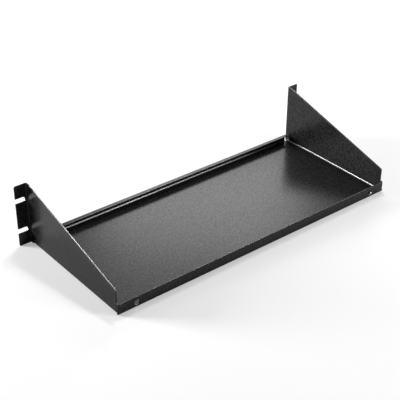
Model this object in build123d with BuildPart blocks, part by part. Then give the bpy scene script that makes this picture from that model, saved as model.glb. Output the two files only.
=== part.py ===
"""Rack shelf, two rack units high, folded from one steel sheet.

Millimetres, +Z up. X runs from the left ear to the right one, and -Y points from the ears to the
free front lip. The origin is the middle of the underside of the shelf's bounding box.
"""

from build123d import *
import os

os.makedirs("parts", exist_ok=True)

# Rack interface
rack_width = 482.6
ear_reach = 16.7
panel_height = 88.1
slot_pitch = 44.45
slot_height = 7.1
slot_depth = 14.0

# Overall body
shelf_depth = 198.7
sheet = 1.5
bend_radius = 2.0
ear_bend_radius = 0.8

# Side gussets
gusset_setback = 4.7
gusset_front_height = 34.4
gusset_top_flat = 8.0

# Front lip and its wrapped ends
lip_height = 16.3
wrap_radius = 0.8
corner_seam = 0.8
lip_hole_diameter = 7.6
lip_hole_inset = 26.6
lip_hole_height = 7.8

# Rear wall and its return
rear_wall_height = 12.2
rear_return = 7.8
rear_wall_inset = 1.7
rear_end_gap = 5.0

# Edges
corner_round = 1.0
gusset_tip_round = 2.0
coated_edge = 0.25
tolerance = 0.01

# Places that follow from the sizes above
outer_radius = bend_radius + sheet
half_rack = rack_width / 2
half_body = half_rack - ear_reach
inner_face = half_body - sheet
far_face = shelf_depth / 2
near_face = far_face - sheet
front_face = -shelf_depth / 2
gusset_front = front_face + gusset_setback
tab_end = gusset_front - corner_seam
rear_wall_face = near_face - rear_wall_inset
relief_line = rear_wall_face - outer_radius
half_floor = half_body - outer_radius
half_rear_wall = inner_face - rear_end_gap
slope_start = near_face - gusset_top_flat
lip_hole_x = half_body - lip_hole_inset


def bent_strip(plane, path, inside, radius=bend_radius):
    """The sheet seen on edge: path is its outer side, and the thickness lies towards inside."""
    with BuildSketch(plane) as strip:
        with BuildLine():
            outer = FilletPolyline(*path, radius=radius + sheet, mode=Mode.PRIVATE)
            sides = [outer.offset_2d(sheet, side=side) for side in (Side.LEFT, Side.RIGHT)]
            add(min(sides, key=lambda wire: (wire.center() - Vector(*inside)).length))
        make_face()
    return strip.sketch


def on_ear_edge(edge):
    """Whether an edge lies on the outer side of an ear."""
    return abs(abs(edge.center().X) - half_rack) < tolerance


def at_gusset_tip(edge):
    """Whether an edge is the front end of a gusset's slope."""
    tip = Vector(edge.center().X, gusset_front, gusset_front_height)
    return (edge.center() - tip).length < tolerance


def is_rim(face):
    """Whether a flat face is a cut edge of the sheet that is left open: slope, lip or return."""
    normal = face.normal_at()
    on_slope = normal.Y < -tolerance and normal.Z > tolerance
    on_lip = normal.Z > 1 - tolerance and abs(face.center().Z - lip_height) < tolerance
    on_return = normal.Y < tolerance - 1 and abs(face.center().Y - rear_wall_face + rear_return) < tolerance
    return on_slope or on_lip or on_return


def is_long(edge):
    """Whether an edge runs along the sheet, not across its thickness."""
    return edge.length > 2 * sheet


with BuildPart() as shelf:
    # Floor and both gussets: an upright U that runs from the gussets' front edges to the rear relief
    trough = bent_strip(
        Plane.XZ.offset(-relief_line),
        [(-half_body, panel_height), (-half_body, 0), (half_body, 0), (half_body, panel_height)],
        inside=(0, panel_height),
    )
    extrude(trough, amount=relief_line - gusset_front)

    # Each gusset turns outwards at its rear edge and becomes an ear
    ear = bent_strip(
        Plane.XY,
        [(half_rack, far_face), (inner_face, far_face), (inner_face, relief_line)],
        inside=(half_rack, relief_line),
        radius=ear_bend_radius,
    )
    extrude(ear, amount=panel_height)
    extrude(mirror(ear, about=Plane.YZ, mode=Mode.PRIVATE), amount=panel_height)

    # The gussets' top edges slope down to the front
    with BuildSketch(Plane.YZ) as above_slope:
        with BuildLine():
            Polyline(
                (slope_start, panel_height),
                (gusset_front, gusset_front_height),
                (front_face, gusset_front_height),
                (front_face, panel_height),
                close=True,
            )
        make_face()
    extrude(amount=half_rack, both=True, mode=Mode.SUBTRACT)

    # Floor between the corner reliefs, turned up at the front
    apron = bent_strip(
        Plane.YZ,
        [(front_face, lip_height), (front_face, 0), (relief_line, 0)],
        inside=(relief_line, lip_height),
    )
    extrude(apron, amount=half_floor, both=True)

    # Rear wall and its forward return, with a gap beside each gusset
    rear_wall = bent_strip(
        Plane.YZ,
        [
            (relief_line - sheet, 0),
            (rear_wall_face, 0),
            (rear_wall_face, rear_wall_height),
            (rear_wall_face - rear_return, rear_wall_height),
        ],
        inside=(rear_wall_face - rear_return, rear_wall_height / 2),
    )
    extrude(rear_wall, amount=half_rear_wall, both=True)

    # The lip's ends wrap round the front corners and stop just short of the gussets
    lip_plan = bent_strip(
        Plane.XY.offset(outer_radius),
        [
            (-half_body, tab_end),
            (-half_body, front_face),
            (half_body, front_face),
            (half_body, tab_end),
        ],
        inside=(0, far_face),
        radius=wrap_radius,
    )
    extrude(lip_plan, amount=lip_height - outer_radius)

    # Mounting slots, open at the ears' outer edges
    with BuildSketch(Plane.XZ.offset(-far_face)) as slots:
        with Locations((0, panel_height / 2)):
            with GridLocations(2 * half_rack, slot_pitch, 2, 2):
                SlotOverall(2 * slot_depth, slot_height)
    extrude(amount=sheet, mode=Mode.SUBTRACT)

    # Lip holes
    with BuildSketch(Plane.XZ.offset(-front_face)) as lip_holes:
        with Locations((-lip_hole_x, lip_hole_height), (lip_hole_x, lip_hole_height)):
            Circle(lip_hole_diameter / 2)
    extrude(amount=-sheet, mode=Mode.SUBTRACT)

    # The ears' corners and the gussets' front corners are rounded
    ear_edges = shelf.edges().filter_by(Axis.Y).group_by(Axis.Z)
    fillet(ear_edges[0].filter_by(on_ear_edge) + ear_edges[-1].filter_by(on_ear_edge), corner_round)
    fillet(shelf.edges().filter_by(Axis.X).filter_by(at_gusset_tip), gusset_tip_round)

    # The coating softens the long cut edges
    rims = shelf.faces().filter_by(GeomType.PLANE).filter_by(is_rim)
    fillet(rims.edges().filter_by(is_long), coated_edge)

    # The bend under the lip runs on to the shelf's full width, below the lip's wrapped ends
    lip_foot = extrude(apron, amount=half_body, both=True, mode=Mode.PRIVATE)
    lip_foot = split(lip_foot, bisect_by=Plane.XY.offset(outer_radius), keep=Keep.BOTTOM, mode=Mode.PRIVATE)
    add(split(lip_foot, bisect_by=Plane.XZ.offset(-tab_end), keep=Keep.TOP, mode=Mode.PRIVATE))

shelf.part.label = "shelf"
export_step(shelf.part, "parts/shelf.step")
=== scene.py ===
"""A black rack shelf on a pale floor, seen from above its front left corner.

Metres, +Z up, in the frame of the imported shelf: X runs from the left ear to the right one, and -Y
points from the ears to the free front lip.
"""

from math import cos, pi, sin

import bpy
from mathutils import Matrix, Vector

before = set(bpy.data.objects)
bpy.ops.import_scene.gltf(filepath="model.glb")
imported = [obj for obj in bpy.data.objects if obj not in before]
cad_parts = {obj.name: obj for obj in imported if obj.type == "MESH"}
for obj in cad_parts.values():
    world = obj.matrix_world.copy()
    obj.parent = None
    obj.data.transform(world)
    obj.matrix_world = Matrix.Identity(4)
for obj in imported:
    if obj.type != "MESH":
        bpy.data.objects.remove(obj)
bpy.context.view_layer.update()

# Colours, linear
BLACK = (0.0, 0.0, 0.0, 1.0)
WHITE = (1.0, 1.0, 1.0, 1.0)

# Powder coat: grain of its skin
PEBBLE_SIZE = 0.0022
PEBBLE_HEIGHT = 0.00006
CLOUD_SIZE = 0.06
NOISE_DETAIL = 2.0
NOISE_ROUGHNESS = 0.5

# Powder coat: the pigment under the gloss, and the painted highlight on bends
SPECK_DARK = (0.0020, 0.0020, 0.0021, 1.0)
SPECK_LIGHT = (0.0180, 0.0180, 0.0186, 1.0)
SPECK_CONTRAST = 3.0
# Painted highlight: the light grey drawn on bends and edges that face up
PAINTED_BEND_HIGHLIGHT = (0.12, 0.12, 0.122, 1.0)
PIGMENT_ROUGHNESS = 0.45
ROUGHNESS_SPREAD = 0.3
BEND_SMOOTHING = 0.2
PIGMENT_IOR = 1.08

# Powder coat: the gloss
GLOSS_WEIGHT = 0.84
GLOSS_SPREAD = 0.6
GLOSS_ROUGHNESS = 0.23
GLOSS_IOR = 1.4

# Camera, with its angles in radians
CAMERA_PLACE = (-0.72635, -0.86969, 0.72553)
CAMERA_YAW = 0.6795
CAMERA_PITCH = 0.5543
CAMERA_ROLL = 0.0044
FOCAL_PIXELS = 997.11
IMAGE_PIXELS = 400
SENSOR_WIDTH = 36.0

# Floor and backdrop
FLOOR_HALF = 6.0
FLOOR_DROP = 0.0002
FLOOR_PAINT = (0.8, 0.8, 0.8, 1.0)
FLOOR_ROUGHNESS = 0.9
FLOOR_LIFT = 0.35
FADE_START = 0.5
FADE_END = 2.0
AMBIENT = 0.1

# Lamps
SHELF_MIDDLE = (0.0, 0.0, 0.0)
LOW_LAMP_SIZE = (0.5, 0.5)


class Value:
    """A number that changes over a surface: arithmetic on it adds Math nodes."""

    def __init__(self, graph, socket):
        self.graph = graph
        self.socket = socket

    def _with(self, operation, *operands):
        return self.graph.node("ShaderNodeMath", {"operation": operation}, *operands)

    def __add__(self, other):
        return self._with("ADD", self, other)

    def __sub__(self, other):
        return self._with("SUBTRACT", self, other)

    def __rsub__(self, other):
        return self._with("SUBTRACT", other, self)

    def __mul__(self, other):
        return self._with("MULTIPLY", self, other)

    __radd__ = __add__
    __rmul__ = __mul__


class Graph:
    """The nodes of one material or of the world."""

    def __init__(self, owner):
        owner.use_nodes = True
        self.tree = owner.node_tree
        self.tree.nodes.clear()

    def node(self, kind, settings=None, *inputs, out=0, **named):
        """Adds a node, sets its settings, then gives its sockets their values or links."""
        made = self.tree.nodes.new(kind)
        for key, setting in (settings or {}).items():
            setattr(made, key, setting)
        sockets = list(zip(made.inputs, inputs))
        sockets += [(made.inputs[key.replace("_", " ")], given) for key, given in named.items()]
        for socket, given in sockets:
            if isinstance(given, Value):
                self.tree.links.new(given.socket, socket)
            elif given is not None:
                socket.default_value = given
        return Value(self, made.outputs[out]) if made.outputs else made


def noise(graph, place, size):
    """Even noise about 0.5, whose grains are about size across."""
    return graph.node(
        "ShaderNodeTexNoise", None,
        Vector=place, Scale=1.0 / size, Detail=NOISE_DETAIL, Roughness=NOISE_ROUGHNESS,
    )


def spread_about(middle, width, grain):
    """Noise about 0.5 moved to lie about middle and made width times as wide."""
    return middle + width * (grain - 0.5)


def blend(graph, share, first, second):
    """A colour that goes from first, where share is 0, to second, where it is 1."""
    skipped = [None] * 5
    return graph.node(
        "ShaderNodeMix", {"data_type": "RGBA"}, share, *skipped, first, second, out=2
    )


def painted_highlight_mask(graph):
    """Mask of the painted highlight: 1 where the surface faces up at 45 degrees, as a bend's middle does, 0
    on level and upright faces.

    It is the sine of twice the tilt: 2 z sqrt(1 - z squared), with z the height of the unit normal.
    Faces that look down get 0.
    """
    normal = graph.node("ShaderNodeTexCoord", out=1)
    rise = graph.node("ShaderNodeSeparateXYZ", None, normal, out=2)
    run = graph.node("ShaderNodeMath", {"operation": "SQRT"}, 1.0 - rise * rise)
    doubled = {"operation": "MULTIPLY", "use_clamp": True}
    return graph.node("ShaderNodeMath", doubled, rise * run, 2.0)


def powder_coat(name):
    """Semi-gloss black powder coat: a fine pebbled skin, mottled in tone and gloss.

    Bends and softened edges that face up carry a painted highlight: they are drawn light grey, smoother and
    metallic, standing in for the bright lines that the gloss alone leaves too dim.
    """
    material = bpy.data.materials.new(name)
    graph = Graph(material)
    place = graph.node("ShaderNodeTexCoord", out=3)
    # Mask of the painted highlight on bends and edges that face up
    bend = painted_highlight_mask(graph)
    pebbles = noise(graph, place, PEBBLE_SIZE)
    cloud = noise(graph, place, CLOUD_SIZE)
    mottle = spread_about(0.5, SPECK_CONTRAST, pebbles)
    speckled = blend(graph, mottle, SPECK_DARK, SPECK_LIGHT)
    roughness = spread_about(PIGMENT_ROUGHNESS, ROUGHNESS_SPREAD, cloud)
    shader = graph.node(
        "ShaderNodeBsdfPrincipled", None,
        # Painted highlight: the mask turns the base light grey, metallic and smoother
        Base_Color=blend(graph, bend, speckled, PAINTED_BEND_HIGHLIGHT),
        Metallic=bend,
        Roughness=roughness - BEND_SMOOTHING * bend,
        IOR=PIGMENT_IOR,
        Coat_Weight=spread_about(GLOSS_WEIGHT, GLOSS_SPREAD, pebbles),
        Coat_Roughness=GLOSS_ROUGHNESS,
        Coat_IOR=GLOSS_IOR,
        Normal=graph.node(
            "ShaderNodeBump", None, Strength=1.0, Distance=1.0, Height=pebbles * PEBBLE_HEIGHT
        ),
    )
    graph.node("ShaderNodeOutputMaterial", None, shader)
    return material


def background_rays(graph):
    """1 for rays from the camera or from a glossy or clear surface, and 0 for the rest."""
    camera, glossy, clear = (graph.node("ShaderNodeLightPath", out=index) for index in (0, 3, 6))
    either = graph.node("ShaderNodeMath", {"operation": "MAXIMUM"}, camera, glossy)
    return graph.node("ShaderNodeMath", {"operation": "MAXIMUM"}, either, clear)


def pale_floor(name):
    """A pale matt floor with the shelf's shadow on it.

    To the camera alone it gives off some light, which grows with the distance from the shelf, so that
    it fades into the white backdrop.
    """
    material = bpy.data.materials.new(name)
    graph = Graph(material)
    place = graph.node("ShaderNodeTexCoord", out=3)
    distance = graph.node("ShaderNodeVectorMath", {"operation": "LENGTH"}, place, out=1)
    lift = graph.node("ShaderNodeMapRange", None, distance, FADE_START, FADE_END, FLOOR_LIFT, 1.0)
    camera = graph.node("ShaderNodeLightPath")
    paint = graph.node(
        "ShaderNodeBsdfPrincipled", None,
        Base_Color=FLOOR_PAINT,
        Roughness=FLOOR_ROUGHNESS,
        Specular_IOR_Level=0.0,
        Emission_Color=blend(graph, camera * lift, BLACK, WHITE),
        Emission_Strength=1.0,
    )
    graph.node("ShaderNodeOutputMaterial", None, paint)
    return material


def white_world():
    """White to the camera and to glossy and clear surfaces, and a softer light to all else."""
    world = bpy.data.worlds.new("studio")
    bpy.context.scene.world = world
    graph = Graph(world)
    soft = graph.node("ShaderNodeBackground", None, WHITE, AMBIENT)
    white = graph.node("ShaderNodeBackground", None, WHITE, 1.0)
    seen = graph.node("ShaderNodeMixShader", None, background_rays(graph), soft, white)
    graph.node("ShaderNodeOutputWorld", None, seen)


def softbox(name, place, target, size, along, radiance):
    """A rectangular area lamp at place that faces target, its first side nearest to the direction along.

    Its power is pi times its area times its radiance.
    """
    lamp = bpy.data.lights.new(name, "AREA")
    lamp.shape = "RECTANGLE"
    lamp.size, lamp.size_y = size
    lamp.energy = radiance * pi * size[0] * size[1]
    behind = (Vector(place) - Vector(target)).normalized()
    across = Vector(along)
    across = (across - across.dot(behind) * behind).normalized()
    turn = Matrix((across, behind.cross(across), behind)).transposed()
    stand = bpy.data.objects.new(name, lamp)
    stand.matrix_world = Matrix.Translation(place) @ turn.to_4x4()
    bpy.context.collection.objects.link(stand)


def low_lamps():
    """Square lamps just above the ground, which light it and the shelf's upright faces."""
    softbox(
        "low_left", place=(-1.17, 1.05, 0.28), target=SHELF_MIDDLE,
        size=LOW_LAMP_SIZE, along=(-0.67, -0.74, 0.0), radiance=53.0,
    )
    softbox(
        "low_right", place=(1.37, 0.79, 0.28), target=SHELF_MIDDLE,
        size=LOW_LAMP_SIZE, along=(-0.5, 0.87, 0.0), radiance=12.0,
    )
    softbox(
        "low_front", place=(0.79, -1.37, 0.28), target=SHELF_MIDDLE,
        size=LOW_LAMP_SIZE, along=(0.87, 0.5, 0.0), radiance=15.0,
    )


def high_lamps():
    """Lamps that show in the gloss: rear_bend in the rear bend's line, key and glow in the shelf's floor."""
    softbox(
        "rear_bend", place=(0.64, -0.76, 1.13), target=(-0.1, 0.09, 0.0),
        size=(0.3, 0.15), along=(0.0, 0.75, 0.66), radiance=20.0,
    )
    softbox(
        "key", place=(0.44, 0.50, 1.43), target=(-0.2, 0.0, 0.0),
        size=(0.10, 0.44), along=(1.0, 0.0, 0.0), radiance=50.0,
    )
    softbox(
        "glow", place=(0.79, 1.00, 0.77), target=SHELF_MIDDLE,
        size=(0.58, 0.30), along=(1.0, -1.0, 0.0), radiance=4.1,
    )


def photo_camera():
    """The photograph's viewing angle: yaw from +Y towards +X, pitch down and a slight roll."""
    level = cos(CAMERA_PITCH)
    ahead = Vector((sin(CAMERA_YAW) * level, cos(CAMERA_YAW) * level, -sin(CAMERA_PITCH)))
    right = Vector((cos(CAMERA_YAW), -sin(CAMERA_YAW), 0.0))
    up = right.cross(ahead)
    tilted_right = cos(CAMERA_ROLL) * right + sin(CAMERA_ROLL) * up
    tilted_up = cos(CAMERA_ROLL) * up - sin(CAMERA_ROLL) * right
    camera = bpy.data.objects.new("camera", bpy.data.cameras.new("camera"))
    camera.data.sensor_width = SENSOR_WIDTH
    camera.data.lens = FOCAL_PIXELS / IMAGE_PIXELS * SENSOR_WIDTH
    turn = Matrix((tilted_right, tilted_up, -ahead)).transposed()
    camera.matrix_world = Matrix.Translation(CAMERA_PLACE) @ turn.to_4x4()
    bpy.context.collection.objects.link(camera)
    bpy.context.scene.camera = camera


def floor_plane():
    """A large flat square just under the shelf."""
    mesh = bpy.data.meshes.new("floor")
    signs = [(-1, -1), (1, -1), (1, 1), (-1, 1)]
    corners = [(across * FLOOR_HALF, along * FLOOR_HALF, -FLOOR_DROP) for across, along in signs]
    mesh.from_pydata(corners, [], [(0, 1, 2, 3)])
    mesh.materials.append(pale_floor("pale_floor"))
    floor = bpy.data.objects.new("floor", mesh)
    bpy.context.collection.objects.link(floor)


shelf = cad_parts["shelf"]
shelf.material_slots[0].material = powder_coat("powder_coat")

floor_plane()
white_world()
low_lamps()
high_lamps()
photo_camera()

bpy.context.scene.view_settings.view_transform = "Standard"
